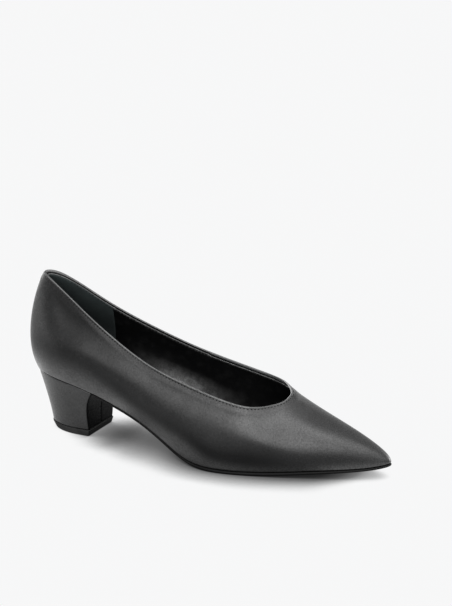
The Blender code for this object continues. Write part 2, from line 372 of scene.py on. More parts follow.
# The calf's polish: what it is in general, and what each zone adds
Along = namedtuple("Along", "plain rear waist fore heel_end")
LOW_POLISH = Along(0.68, 0.1, 0.3, 0, 0)
LOW_POLISH_REACH = Along(3.5 * MM, 8 * MM, 8 * MM, 0, 0)
DULL_BAND = Along(0.24, 0, 0, -0.19, -0.09)
DULL_BAND_RISE = Along(9 * MM, 10 * MM, 8 * MM, 0, 0)
DULL_BAND_REACH = 7 * MM
PLAIN_POLISH = 0.225
RIM_POLISH = 0.30
RIM_POLISH_BELOW = 0.3 * MM
RIM_POLISH_REACH = 0.9 * MM

# A place that is polished more or less than what lies round it, on both sides of the shoe
Rub = namedtuple("Rub", "name amount along along_reach from_topline away away_reach")
RUBS = (
    Rub("dull_heel_top", -0.12, 48 * MM, 30 * MM, True, 9 * MM, 5 * MM),
    Rub("quarter", 0.07, 95 * MM, 30 * MM, True, 8 * MM, 9 * MM),
    Rub("vamp", 0.11, 174 * MM, 24 * MM, True, 9 * MM, 10 * MM),
    Rub("toe", 0.08, 206 * MM, 15 * MM, False, 27 * MM, 11 * MM),
)


def calf_polish(x, climb):
    """How polished the upper is, by the place along the shoe and the climb above the feather line."""
    rear = ramp(x, *REAR_ZONE)
    waist = hump(x, *WAIST_ZONE)
    fore = ramp(x, *FORE_ZONE)
    heel_end = ramp(x, *HEEL_END_ZONE)

    def here(value):
        behind = value.plain + value.rear * rear + value.waist * waist
        return behind + value.fore * fore + value.heel_end * heel_end

    below = below_topline(climb)
    polish = PLAIN_POLISH + here(LOW_POLISH) * hump(climb, 0, here(LOW_POLISH_REACH))
    polish += RIM_POLISH * hump(below, RIM_POLISH_BELOW, RIM_POLISH_REACH)
    polish -= here(DULL_BAND) * hump(climb, here(DULL_BAND_RISE), DULL_BAND_REACH)
    for rub in RUBS:
        away = below if rub.from_topline else climb
        polish += rub.amount * hump(x, rub.along, rub.along_reach) * hump(away, rub.away, rub.away_reach)
    return np.clip(polish, 0, 1)


# Painted sheen: the fold's inner roll is given a paler colour, most of all in front of the inner seam
ROLL_SHEEN_BELOW = 0.5 * MM
ROLL_SHEEN_REACH = 1.3 * MM
ROLL_SHEEN_DEPTH_REACH = 0.9 * FOLD_RADIUS
ROLL_SHEEN_BEHIND_SEAM = 0.3

below = below_topline(climb)
roll = hump(depth, 2 * FOLD_RADIUS, ROLL_SHEEN_DEPTH_REACH) * hump(below, ROLL_SHEEN_BELOW, ROLL_SHEEN_REACH)
roll = roll * (ROLL_SHEEN_BEHIND_SEAM + (1 - ROLL_SHEEN_BEHIND_SEAM) * past_seam)
polish = calf_polish(points[..., 0] - offset[0], climb)
upper = ring_shell("upper_leather", points, {"below_topline": below, "polish": polish, "roll": roll})


class Wire:
    """One output in a finish's node tree. Arithmetic on it adds Math nodes."""

    def __init__(self, tree, socket):
        self.tree = tree
        self.socket = socket

    def node(self, kind, settings, inputs, output=0):
        """Adds a node of any kind: its settings first, then the values or wires of its sockets."""
        made = self.tree.nodes.new(kind)
        for key, value in settings.items():
            if key == "stops":
                elements = made.color_ramp.elements
                while len(elements) < len(value):
                    elements.new(1)
                for stop, (position, colour) in zip(elements, value):
                    stop.position = position
                    stop.color = (*colour, 1)
            else:
                setattr(made, key, value)
        for key, value in inputs.items():
            if isinstance(value, Wire):
                self.tree.links.new(value.socket, made.inputs[key])
            else:
                made.inputs[key].default_value = value
        return Wire(self.tree, made.outputs[output])

    def math(self, operation, first, second):
        """A Math node on two values or wires."""
        return self.node("ShaderNodeMath", {"operation": operation}, {0: first, 1: second})

    def __add__(self, other):
        return self.math("ADD", self, other)

    __radd__ = __add__

    def __sub__(self, other):
        return self.math("SUBTRACT", self, other)

    def __rsub__(self, other):
        return self.math("SUBTRACT", other, self)

    def __mul__(self, other):
        return self.math("MULTIPLY", self, other)

    __rmul__ = __mul__

    def spread(self, low, high):
        """0 below the low value, 1 above the high one, and a smooth rise between them."""
        return self.node(
            "ShaderNodeMapRange",
            {"interpolation_type": "SMOOTHSTEP"},
            {"Value": self, "From Min": low, "From Max": high, "To Min": 0, "To Max": 1},
        )

    def bell(self, centre, width):
        """1 where this value is the centre, falling off softly over the width."""
        away = self.math("ABSOLUTE", self - centre, 0)
        return 1 - away.spread(0, width)


def start_finish(name):
    """A new material: its Principled shader and the wire of its Object coordinates."""
    material = bpy.data.materials.new(name)
    material.use_nodes = True
    tree = material.node_tree
    place = Wire(tree, None).node("ShaderNodeTexCoord", {}, {}, "Object")
    return material, tree.nodes["Principled BSDF"], place


def feed(wire, shader, socket):
    """Links a wire to a socket of a shader."""
    wire.tree.links.new(wire.socket, shader.inputs[socket])


def set_sockets(shader, values):
    """Sets the sockets of a shader that are the same all over the surface."""
    for socket, value in values.items():
        shader.inputs[socket].default_value = value


def read_mark(place, name):
    """The wire of a value that is marked on the piece's points."""
    return place.node("ShaderNodeAttribute", {"attribute_name": name}, {}, "Fac")


def tinted(wire, stops):
    """A colour that follows a value through stops, each a value and its colour."""
    return wire.node("ShaderNodeValToRGB", {"stops": stops}, {"Fac": wire})


def emboss(shader, height, strength, depth):
    """Raises a height on the surface as bump."""
    bump = height.node("ShaderNodeBump", {}, {"Height": height, "Strength": strength, "Distance": depth})
    feed(bump, shader, "Normal")


def noise(place, scale, detail, roughness):
    """Soft noise at a number of lumps to the metre."""
    return place.node(
        "ShaderNodeTexNoise",
        {},
        {"Vector": place, "Scale": scale, "Detail": detail, "Roughness": roughness},
    )


def leather_grain(place, cell, softness):
    """Height of a fine calf grain: rounded cells with creases between them, and pores."""
    wander = place.node("ShaderNodeTexNoise", {}, {"Vector": place, "Scale": 0.6 / cell}, "Color")
    warp = place.node(
        "ShaderNodeVectorMath",
        {"operation": "MULTIPLY_ADD"},
        {0: wander, 1: (cell * 0.8,) * 3, 2: place},
    )
    cells = place.node(
        "ShaderNodeTexVoronoi", {"feature": "DISTANCE_TO_EDGE"}, {"Vector": warp, "Scale": 1 / cell}
    )
    pores = noise(place, scale=2.6 / cell, detail=3, roughness=0.6)
    return cells.spread(0, softness) * 0.7 + pores * 0.6


CALF_DARK = (0.0008, 0.00082, 0.00088)
CALF_LIGHT = (0.0022, 0.0023, 0.0024)
# The rolled tone is a painted sheen on the fold's inner roll
CALF_ROLL_PAINTED_SHEEN = (0.060, 0.061, 0.062)
CALF_TONES = ((0.25, CALF_DARK), (0.75, CALF_LIGHT), (1.0, CALF_ROLL_PAINTED_SHEEN))
CALF_GRAIN = 0.85 * MM
CALF_GRAIN_DEPTH = 0.1 * MM
# Painted shade darkens the calf's colour in the stitch groove
GROOVE_PAINTED_SHADE = 0.5
GROOVE_PAINTED_SHADE_REACH = 0.5 * MM
UPPER_GLOSS = 0.15


def calf_finish(name, marked, gloss):
    """Charcoal calf with a satin coat, polished as the piece's marks say. The upper is also marked
    for painted shade in its stitch groove and for a painted sheen on the roll of its fold."""
    material, shader, place = start_finish(name)
    grain = leather_grain(place, CALF_GRAIN, softness=0.32)
    cloud = noise(place, scale=90, detail=3, roughness=0.55)
    patch = noise(place, scale=420, detail=4, roughness=0.65)
    fleck = noise(place, scale=1150, detail=2, roughness=0.6).spread(0.32, 0.68)
    tone = 0.55 * cloud + 0.25 * patch + 0.2 * grain
    if marked:
        # Painted shade in the stitch groove, and a painted sheen on the fold's inner roll
        painted_groove_shade = read_mark(place, "below_topline").bell(STITCH_BELOW, GROOVE_PAINTED_SHADE_REACH)
        tone = tone * (1 - GROOVE_PAINTED_SHADE * painted_groove_shade) + read_mark(place, "roll") * (1 - tone)
    feed(tinted(tone, CALF_TONES), shader, "Base Color")
    feed(0.22 + 0.10 * patch + 0.04 * (1 - grain), shader, "Roughness")
    feed(read_mark(place, "polish") * (0.44 + 0.5 * cloud + 0.62 * fleck), shader, "Coat Weight")
    emboss(shader, grain, strength=0.7, depth=CALF_GRAIN_DEPTH)
    set_sockets(shader, {"Specular IOR Level": gloss, "Coat Roughness": 0.27, "Coat IOR": 1.8})
    return material


upper.data.materials.append(calf_finish("charcoal_calf", marked=True, gloss=UPPER_GLOSS))
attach(upper, "root")
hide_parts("upper")


# Topline stitching
# Black nylon thread in one row just below the folded edge. It holds fold and lining together, so it
# shows as short sunk stitches on the outside and again on the lining.

STITCH_PITCH = 2.35 * MM
STITCH_LENGTH = 1.4 * MM
STITCH_WIDTH = 0.85 * MM
STITCH_SIDES = 8
STITCH_RINGS = 6
STITCH_SUNK = STITCH_GROOVE + 0.14 * MM
LINING_INSIDE = 1.86 * MM
LINING_STEP = 0.8 * MM
LINING_STITCH_BELOW = 2.7 * MM
LINING_STITCH_SUNK = LINING_INSIDE + 0.02 * MM
THREAD_TONES = ((0.3, (0.0008, 0.0008, 0.0008)), (0.7, (0.003, 0.003, 0.003)))


def stitch_row(name, drop, sunk, material):
    """A row of stitches round the topline, a little sunk in the leather at the given depth."""
    ring, normal = (rows[0] for rows in wall_frame(below_topline(drop)[None]))
    ring = ring - padded(sunk, below_topline(drop))[:, None] * normal
    closed = np.concatenate([ring, ring[:1]])
    walked = np.concatenate([[0], np.cumsum(np.linalg.norm(np.diff(closed, axis=0), axis=1))])
    count = round(walked[-1] / STITCH_PITCH)
    lie_down = Matrix.Rotation(math.pi / 2, 4, "Y")
    shell = bmesh.new()
    for i in range(count):
        spot = np.interp((i + 0.5) / count * walked[-1], walked, np.arange(AROUND + 1))
        here = int(spot) % AROUND
        ahead = (here + 1) % AROUND
        centre = ring[here] + (spot - int(spot)) * (ring[ahead] - ring[here])
        along = unit(ring[ahead] - ring[here])
        out = normal[here]
        lean = np.cross(out, along)
        axes = np.stack([along * STITCH_LENGTH, out * STITCH_WIDTH, lean * STITCH_WIDTH], axis=1) / 2
        turn = Matrix(axes.tolist()).to_4x4()
        turn.translation = Vector(centre)
        bmesh.ops.create_uvsphere(
            shell, u_segments=STITCH_SIDES, v_segments=STITCH_RINGS, radius=1, matrix=turn @ lie_down
        )
    bmesh.ops.recalc_face_normals(shell, faces=shell.faces)
    piece = make_piece(name, shell)
    piece.data.materials.append(material)
    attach(piece, "root")


thread, shader, place = start_finish("nylon_thread")
strand = noise(place, scale=2600, detail=2, roughness=0.5)
feed(tinted(strand, THREAD_TONES), shader, "Base Color")
feed(0.55 + 0.25 * strand, shader, "Roughness")
set_sockets(shader, {"Specular IOR Level": 0.08})
stitch_row("topline_stitches", STITCH_BELOW, STITCH_SUNK, thread)
lining_drop = LINING_STITCH_BELOW + LINING_STEP * past_seam
stitch_row("lining_stitches", lining_drop, LINING_STITCH_SUNK, thread)


# Lining
# Thin black glazed leather glued inside the upper. Its cut edge lies just below the fold, a little
# lower in front of the inner seam, so a dark line shows between them. Its lower edge runs behind the
# sock. A painted sheen runs along its edge, and a patch of painted light lies at the waist.

LINING_BACK = 1.42 * MM
LINING_EDGE = (
    (1.9 * MM, LINING_BACK),
    (1.68 * MM, 1.48 * MM),
    (1.62 * MM, 1.6 * MM),
    (1.68 * MM, 1.74 * MM),
    (1.8 * MM, 1.83 * MM),
    (2.0 * MM, LINING_INSIDE),
    (2.3 * MM, LINING_INSIDE),
    (2.5 * MM, 1.80 * MM),
    (2.7 * MM, 1.76 * MM),
    (2.9 * MM, 1.80 * MM),
    (3.1 * MM, LINING_INSIDE),
)
STEP_STARTS = 3.6 * MM
STEP_FULL = 1.6 * MM
LINING_DROPS = (3.6, 4.4, 5.6, 7.5, 10, 12.5)
LINING_ROWS = 31
LINING_FOOT_RISES = (2.5, 1.0)
LINING_BACK_RISES = (1.0, 3.0)
LINING_BACK_SHARES = np.linspace(0.1, 0.9, 5)
LINING_BACK_DROPS = (10, 6, 3)

section = []
for drop, inset in LINING_EDGE:
    lowered = LINING_STEP * ramp(drop, STEP_STARTS, STEP_FULL) * past_seam
    section.append((below_topline(drop) - lowered, inset))
for drop in LINING_DROPS:
    section.append((below_topline(drop * MM), LINING_INSIDE))
for share in np.linspace(1, 0, LINING_ROWS):
    section.append((between(share), LINING_INSIDE))
for rise in LINING_FOOT_RISES:
    section.append((above_feather(rise * MM), LINING_INSIDE))
for rise in LINING_BACK_RISES:
    section.append((above_feather(rise * MM), LINING_BACK))
for share in LINING_BACK_SHARES:
    section.append((between(share), LINING_BACK))
for drop in LINING_BACK_DROPS:
    section.append((below_topline(drop * MM), LINING_BACK))

# Painted sheen along the lining's edge, and painted light below a line that falls towards the toe
EDGE_PAINTED_SHEEN_BELOW = 2.2 * MM
EDGE_PAINTED_SHEEN_REACH = 0.8 * MM
WAIST_PAINTED_LIGHT_TOP = 49 * MM
WAIST_PAINTED_LIGHT_START = 84 * MM
WAIST_PAINTED_LIGHT_FALL = 0.33
WAIST_PAINTED_LIGHT_FADE = 11 * MM
WAIST_PAINTED_LIGHT_MIDDLE = 104 * MM
WAIST_PAINTED_LIGHT_REACH = 30 * MM

climb = np.array([row[0] for row in section])
depth = padded(np.array([row[1] for row in section])[:, None], climb)
points, normals = wall_frame(climb)
x = points[..., 0] - offset[0]
painted_light_line = WAIST_PAINTED_LIGHT_TOP - WAIST_PAINTED_LIGHT_FALL * (x - WAIST_PAINTED_LIGHT_START)
waist_painted_light = ramp(painted_light_line - points[..., 2], 0, WAIST_PAINTED_LIGHT_FADE) * hump(x, WAIST_PAINTED_LIGHT_MIDDLE, WAIST_PAINTED_LIGHT_REACH)
polish = np.clip(hump(below_topline(climb), EDGE_PAINTED_SHEEN_BELOW, EDGE_PAINTED_SHEEN_REACH) + waist_painted_light, 0, 1)
lining = ring_shell("lining", points - depth[..., None] * normals, {"polish": polish})

# The pale stops are painted light: the sheen along the edge and the patch at the waist
LINING_TONES = (
    (0.1, (0.0010, 0.0010, 0.0011)),
    (0.45, (0.024, 0.024, 0.024)),
    (1.0, (0.09, 0.091, 0.091)),
)
LINING_GRAIN = 1.1 * MM
LINING_GRAIN_DEPTH = 0.1 * MM

glazed, shader, place = start_finish("glazed_lining")
grain = leather_grain(place, LINING_GRAIN, softness=0.3)
cloud = noise(place, scale=160, detail=4, roughness=0.6)
fleck = noise(place, scale=1300, detail=3, roughness=0.7)
mottle = noise(place, scale=300, detail=4, roughness=0.7).spread(0.36, 0.64)
polish = read_mark(place, "polish")
# The polish mark paints light into the colour as well as raising the coat
tone_and_painted_light = 0.2 * cloud + polish * (0.2 + 0.4 * fleck.spread(0.3, 0.72) + 0.45 * mottle)
feed(tinted(tone_and_painted_light, LINING_TONES), shader, "Base Color")
feed(0.42 + 0.2 * cloud, shader, "Roughness")
feed(polish * (0.2 + 1.6 * fleck), shader, "Coat Weight")
emboss(shader, grain + fleck, strength=0.5, depth=LINING_GRAIN_DEPTH)
set_sockets(shader, {"Specular IOR Level": 0.12, "Coat Roughness": 0.38})
lining.data.materials.append(glazed)
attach(lining, "root")


# Heel lining
# A reversed-leather grip of dark grey green round the heel, glued over the lining. Its cut front
# edges stand about a fifth of the way along the shoe, and painted shade darkens it towards its foot.

GRIP_FRONT = 50 * MM
GRIP_THICKNESS = 0.3 * MM
GRIP_OVERLAP = 0.05 * MM
GRIP_ROWS = 40
GRIP_TOP = 1.3 * MM
GRIP_FOOT = 1.5 * MM
GRIP_TONES = ((0.3, (0.0036, 0.0054, 0.0058)), (0.7, (0.0115, 0.0165, 0.0165)))
NAP_DEPTH = 0.1 * MM

reach = int(np.argmax(feather[:HALF, 0] - offset[0] > GRIP_FRONT))
grip_places = np.arange(-reach, reach + 1)
shell = bmesh.new()
painted_shade_height = shell.verts.layers.float.new("height")
bmesh.ops.create_grid(shell, x_segments=len(grip_places) - 1, y_segments=GRIP_ROWS, size=0.5)
climb = np.linspace(0, 1, GRIP_ROWS + 1)[:, None] * (wall_length - GRIP_TOP - GRIP_FOOT) + GRIP_FOOT
points, normals = wall_frame(climb)
points = points - padded(LINING_INSIDE + GRIP_THICKNESS, climb)[..., None] * normals
for vert in shell.verts:
    i = round((vert.co.x + 0.5) * (len(grip_places) - 1))
    j = round((vert.co.y + 0.5) * GRIP_ROWS)
    vert.co = points[j, grip_places[i]]
    vert[painted_shade_height] = j / GRIP_ROWS
bmesh.ops.recalc_face_normals(shell, faces=shell.faces)
heel_lining = make_piece("heel_lining", shell)
thickness = heel_lining.modifiers.new("thickness", "SOLIDIFY")
thickness.thickness = GRIP_THICKNESS + GRIP_OVERLAP
thickness.offset = 1

suede, shader, place = start_finish("grey_green_reversed_leather")
nap = noise(place, scale=1500, detail=4, roughness=0.7)
cloud = noise(place, scale=110, detail=3, roughness=0.6)
# Painted shade: the grip's colour darkens towards its foot
shade = (0.5 * nap + 0.5 * cloud) * (0.5 + 0.7 * read_mark(place, "height"))
feed(tinted(shade, GRIP_TONES), shader, "Base Color")
emboss(shader, nap, strength=0.4, depth=NAP_DEPTH)
set_sockets(shader, {"Roughness": 0.85, "Specular IOR Level": 0.3})
heel_lining.data.materials.append(suede)
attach(heel_lining, "root")


# Insole with its sock
# A board cut to the last's foot, covered by a black leather sock that is thinly padded, so its edge
# is rounded and meets the lining.

SOCK_THICKNESS = 1.8 * MM
SOCK_INSET = 2.2 * MM
SOCK_TUCK = 0.2 * MM
SOCK_EDGE = 0.7 * MM
SOCK_EDGE_DEGREES = (0, 30, 60, 90)
SOCK_CROWN = 0.5 * MM
SOCK_INWARD = np.linspace(0.08, 1, 8)
SOCK_TONES = ((0.3, (0.003, 0.003, 0.0032)), (0.7, (0.007, 0.007, 0.0074)))
SOCK_GRAIN = 1.2 * MM
SOCK_GRAIN_DEPTH = 0.12 * MM


def footbed_height(x):
    """Height of the feather line over a place along the shoe, the same on both sides."""
    return np.interp(x, feather[: HALF + 1, 0], feather[: HALF + 1, 2])


def loft(name, sections, fill_ends):
    """A solid from closed sections set in a row, with its open ends filled."""
    stations, turns = sections.shape[:2]
    shell = bmesh.new()
    bmesh.ops.create_grid(shell, x_segments=stations - 1, y_segments=turns, size=0.5)
    for vert in shell.verts:
        i = round((vert.co.x + 0.5) * (stations - 1))
        j = round((vert.co.y + 0.5) * turns) % turns
        vert.co = sections[i, j]
    bmesh.ops.remove_doubles(shell, verts=shell.verts, dist=MERGE_REACH)
    if fill_ends:
        bmesh.ops.holes_fill(shell, edges=[edge for edge in shell.edges if edge.is_boundary], sides=0)
    bmesh.ops.recalc_face_normals(shell, faces=shell.faces)
    return make_piece(name, shell)


def plate_section(rows, first):
    """Sections through a plate: each row gives how far its edge lies out of the feather line, its
    share of the way to the middle, and its level, from the outer to the inner side."""
    places = np.arange(first, HALF + 1)
    out = outward(feather)
    turns = []
    for side in (1, -1):
        for proud, inward, height in rows[::side]:
            near = feather[places] + proud * out[places]
            far = feather[-places] + proud * out[-places]
            share = inward / 2 if side == 1 else 1 - inward / 2
            point = near * (1 - share) + far * share
            point[:, 2] = height
            turns.append(point)
    return np.stack(turns, axis=1)


sock_rows = [(-SOCK_INSET, 1, 0), (-SOCK_INSET, 0.5, 0), (-SOCK_INSET - SOCK_TUCK, 0, 0)]
for degrees in SOCK_EDGE_DEGREES:
    turn = math.radians(degrees)
    drop = SOCK_EDGE * (1 - math.sin(turn))
    sock_rows.append((-SOCK_INSET - SOCK_EDGE * (1 - math.cos(turn)), 0, SOCK_THICKNESS - drop))
for inward in SOCK_INWARD:
    crown = SOCK_CROWN * math.sin(inward * math.pi / 2)
    sock_rows.append((-SOCK_INSET - SOCK_EDGE, inward, SOCK_THICKNESS + crown))
sections = plate_section(sock_rows, 0)
sections[..., 2] += footbed_height(sections[..., 0])
insole = loft("sock_insole", sections, fill_ends=False)

sock, shader, place = start_finish("black_sock_leather")
grain = leather_grain(place, SOCK_GRAIN, softness=0.35)
cloud = noise(place, scale=130, detail=4, roughness=0.6)
feed(tinted(cloud, SOCK_TONES), shader, "Base Color")
feed(0.38 + 0.25 * cloud, shader, "Roughness")
emboss(shader, grain, strength=0.7, depth=SOCK_GRAIN_DEPTH)
set_sockets(shader, {"Specular IOR Level": 0.2})
insole.data.materials.append(sock)
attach(insole, "root")
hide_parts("insole")


# Outsole
# A thin black sheet sole stuck under the upper from heel breast to toe. Its edge is trimmed close,
# rounded and inked, and it lies flat on the floor under the ball.

GAP = 0.3 * MM
SOLE_BED = -0.6 * MM
SOLE_LIP = -0.1 * MM
SOLE_PROUD = 0.25 * MM
SOLE_ROUND = 0.7 * MM
SOLE_UNDER = SOLE_PROUD - SOLE_ROUND * 1.2
SOLE_EDGE_DEGREES = (20, 45, 70, 90, 115, 140, 165)
SOLE_INWARD = (0, 0.1, 0.3, 0.6, 1)
BREAST_STATION = 3 * STEPS_PER_ROW
BREAST_SKEW = 0.8 * MM
SOLE_TONES = ((0.3, (0.0012, 0.0012, 0.0012)), (0.7, (0.003, 0.003, 0.003)))
SCUFF_DEPTH = 0.05 * MM

# A row's level is here its share of the sole's thickness, down from the top
sole_rows = [(SOLE_BED, 1, 0), (SOLE_BED, 0.4, 0), (SOLE_BED, 0, 0), (SOLE_LIP, 0, 0.02)]
for degrees in SOLE_EDGE_DEGREES:
    turn = math.radians(degrees)
    sole_rows.append((SOLE_PROUD - SOLE_ROUND * (1 - math.sin(turn)), 0, (1 - math.cos(turn)) / 2))
for inward in SOLE_INWARD:
    sole_rows.append((SOLE_UNDER, inward, 1))
sections = plate_section(sole_rows, BREAST_STATION)
inner_share = np.interp(sections[0, :, 1], (sections[0, :, 1].min(), sections[0, :, 1].max()), (0, 1))
sections[0, :, 0] = feather[BREAST_STATION, 0] + GAP + BREAST_SKEW * inner_share
places = [row.along / 100 * LENGTH + offset[0] for row in FEATHER_LINE]
thickness = np.interp(sections[..., 0], places, [row.sole * MM for row in FEATHER_LINE])
sections[..., 2] = footbed_height(sections[..., 0]) - GAP - sections[..., 2] * thickness
sections[..., 2] = np.maximum(sections[..., 2], 0)
outsole = loft("sheet_outsole", sections, fill_ends=True)

sole_ink, shader, place = start_finish("inked_sole_sheet")
scuff = noise(place, scale=700, detail=5, roughness=0.7)
cloud = noise(place, scale=60, detail=3, roughness=0.5)
feed(tinted(cloud, SOLE_TONES), shader, "Base Color")
feed(0.4 + 0.3 * scuff, shader, "Roughness")
emboss(shader, scuff, strength=0.25, depth=SCUFF_DEPTH)
set_sockets(shader, {"Specular IOR Level": 0.10})
outsole.data.materials.append(sole_ink)
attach(outsole, "root")
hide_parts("outsole")


# Heel
# A block heel covered in the upper's calf: the cover wraps the back and sides, turns round the
# breast's corners and closes in a seam down the middle of the breast, which is left unpolished and given a
# duller, darker copy of the calf as painted shade.

LIFT_THICKNESS = 4.4 * MM
HEEL_INSET = 0.2 * MM
HEEL_FOOT_BACK = 17.0 * MM
HEEL_FOOT_FRONT = 51.8 * MM
HEEL_FOOT_HALF_WIDTH = 16.5 * MM
HEEL_ROUND_SHARE = 0.75
BACK_SWEEP = 1.25
BREAST_SWEEP = 3.3
SIDE_SWEEP = 1.15
BREAST_CORNER = 1.1 * MM
HEEL_EDGE = 0.35 * MM
HEEL_EDGE_SHARE = 0.008
BREAST_SEAM_WIDTH = 0.35 * MM
BREAST_SEAM_DEPTH = 0.4 * MM

# Shares of the way from the back to the breast, across the breast, and down from seat to foot
SIDE_STATIONS = 30
BACK_CROWDING = 1.6
CORNER_STARTS = 0.955
CORNER_SHARES = (0.968, 0.976, 0.983, 0.989, 0.994, 0.998, 1.0)
plain_shares = np.linspace(0, 1, SIDE_STATIONS) ** BACK_CROWDING * CORNER_STARTS
SIDE_SHARES = np.concatenate([plain_shares, CORNER_SHARES])
BREAST_SHARES = np.array([
    0.04, 0.12, 0.22, 0.32, 0.42, 0.47, 0.485, 0.493, 0.5,
    0.507, 0.515, 0.53, 0.58, 0.68, 0.78, 0.88, 0.96,
])
HEEL_LEVELS = (
    0, 0.006, 0.015, 0.03, 0.06, 0.09, 0.13, 0.17, 0.22, 0.28, 0.34,
    0.42, 0.5, 0.58, 0.66, 0.74, 0.82, 0.9, 0.96, 0.99, 1,
)

HEEL_POLISH = 0.24
HEEL_TOP_POLISH = 0.18
HEEL_GLOSS = 0.18
BREAST_PAINTED_SHADE_GLOSS = 0.015
BREAST_FACING = 0.6
TURN_STARTS = 0.3
TURN_FULL = 0.7


def heel_foot(share, proud, back_tuck):
    """Half outline of the heel's foot: a rounded back, straight sides and a straight breast."""
    back = HEEL_FOOT_BACK - proud + back_tuck
    front = HEEL_FOOT_FRONT + proud
    from_round = np.clip(1 - share / HEEL_ROUND_SHARE, 0, 1)
    width = (HEEL_FOOT_HALF_WIDTH + proud) * np.sqrt(1 - from_round ** 2)
    return back + share * (front - back), width


def round_corner(x, width, front):
    """Turns the side into the breast on a small radius."""
    past = np.clip(x - (front - BREAST_CORNER), 0, BREAST_CORNER)
    return width - (BREAST_CORNER - np.sqrt(BREAST_CORNER ** 2 - past ** 2))


def heel_ring(outer_side, inner_side, seam):
    """One closed level of the heel: up the outer side from the breast, round the back, and across."""
    sides = np.concatenate([outer_side[::-1], inner_side[1:]])
    share = BREAST_SHARES[:, None]
    breast = inner_side[-1] * (1 - share) + outer_side[-1] * share
    middle = (inner_side[-1][1] + outer_side[-1][1]) / 2
    breast[:, 0] -= seam * hump(breast[:, 1], middle, BREAST_SEAM_WIDTH)
    return np.concatenate([sides, breast])


def turned_to_breast(vert):
    """0 on the back and sides of a heel piece, 1 on the face of its breast."""
    return ramp(vert.normal.x, TURN_STARTS, TURN_FULL)


seat_stations = np.arange(BREAST_STATION + 1)
seat_x = feather[seat_stations, 0] - offset[0]
seat_edge = feather - HEEL_INSET * outward(feather) - offset
seat_sides = ((-1, 0, seat_edge[seat_stations]), (1, BREAST_SKEW, seat_edge[-seat_stations]))
foot_x, foot_y = heel_foot(SIDE_SHARES, 0, 0)
seat_along = seat_x[0] + SIDE_SHARES * (seat_x[-1] - seat_x[0])
sweep = BACK_SWEEP + (BREAST_SWEEP - BACK_SWEEP) * SIDE_SHARES ** 3
rings = []
for depth in HEEL_LEVELS:
    edge = HEEL_EDGE * max(hump(depth, 0, HEEL_EDGE_SHARE), hump(depth, 1, HEEL_EDGE_SHARE))
    shrink = 1 - edge / HEEL_FOOT_HALF_WIDTH
    slide = 1 - (1 - depth) ** sweep
    draw_in = 1 - (1 - depth) ** SIDE_SWEEP
    sides = []
    for sign, skew, order in seat_sides:
        seat_width = np.interp(seat_along, order[:, 0], sign * order[:, 1])
        seat_width[0] = 0
        seat_height = footbed_height(seat_along + skew * SIDE_SHARES + offset[0]) - GAP
        x = seat_along + (foot_x - seat_along) * slide + skew * SIDE_SHARES
        width = seat_width + (foot_y - seat_width) * draw_in
        width = round_corner(x, width, x[-1]) * shrink
        z = seat_height + depth * (LIFT_THICKNESS + GAP - seat_height)
        middle = x.mean()
        x = middle + (x - middle) * shrink
        sides.append(np.stack([x, sign * width, z], axis=1) + offset)
    rings.append(heel_ring(*sides, BREAST_SEAM_DEPTH))
heel = loft("covered_heel", np.array(rings), fill_ends=True)
polish = heel.data.attributes.new("polish", "FLOAT", "POINT")
for vert, mark in zip(heel.data.vertices, polish.data):
    mark.value = (HEEL_POLISH + HEEL_TOP_POLISH * vert.co.z / SEAT_HEIGHT) * (1 - turned_to_breast(vert))
heel.data.materials.append(calf_finish("heel_calf", marked=False, gloss=HEEL_GLOSS))
# The breast's duller copy of the calf is painted shade
heel.data.materials.append(calf_finish("breast_calf_painted_shade", marked=False, gloss=BREAST_PAINTED_SHADE_GLOSS))
for face in heel.data.polygons:
    if face.normal.x > BREAST_FACING:
        face.material_index = 1
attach(heel, "root")
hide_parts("heel")


# Top lift
# A moulded rubber tip nailed under the heel. It stands a hair proud of the cover at its top edge
# and draws in towards the floor. Its back and sides are dusty, and its breast face is painted dark as
# shade.

LIFT_BACK_TUCK = 1.6 * MM
# Heights above the floor, and how far the tip stands proud of the heel's foot there
LIFT_ROWS = (
    (4.4 * MM, -0.25 * MM),
    (4.33 * MM, 0.1 * MM),
    (4.1 * MM, 0.33 * MM),
    (3.6 * MM, 0.35 * MM),
    (2.4 * MM, 0.08 * MM),
    (1.2 * MM, -0.2 * MM),
    (0.5 * MM, -0.38 * MM),
    (0.15 * MM, -0.55 * MM),
    (0.0, -0.95 * MM),
)
# The darkest stop is painted shade on the lift's breast face
RUBBER_TONES = ((0.0, (0.002, 0.002, 0.002)), (0.3, (0.010, 0.010, 0.010)), (0.7, (0.018, 0.018, 0.018)))
SPECK_DEPTH = 0.05 * MM

rings = []
for height, proud in LIFT_ROWS:
    back_tuck = LIFT_BACK_TUCK * (1 - height / LIFT_THICKNESS)
    x, width = heel_foot(SIDE_SHARES, proud, back_tuck)
    width = round_corner(x, width, x[-1])
    z = np.full_like(x, height)
    outer_side = np.stack([x, -width, z], axis=1) + offset
    inner_side = np.stack([x + BREAST_SKEW * SIDE_SHARES, width, z], axis=1) + offset
    rings.append(heel_ring(outer_side, inner_side, 0))
top_lift = loft("rubber_top_lift", np.array(rings), fill_ends=True)
bared = top_lift.data.attributes.new("bared", "FLOAT", "POINT")
for vert, mark in zip(top_lift.data.vertices, bared.data):
    mark.value = 1 - turned_to_breast(vert)

rubber, shader, place = start_finish("matte_rubber")
speck = noise(place, scale=1800, detail=4, roughness=0.7)
dust_and_painted_shade = noise(place, scale=200, detail=3, roughness=0.5) * read_mark(place, "bared")
feed(tinted(dust_and_painted_shade, RUBBER_TONES), shader, "Base Color")
feed(0.6 + 0.2 * speck, shader, "Roughness")
emboss(shader, speck, strength=0.3, depth=SPECK_DEPTH)
set_sockets(shader, {"Specular IOR Level": 0.08})
top_lift.data.materials.append(rubber)
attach(top_lift, "root")
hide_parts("top_lift")


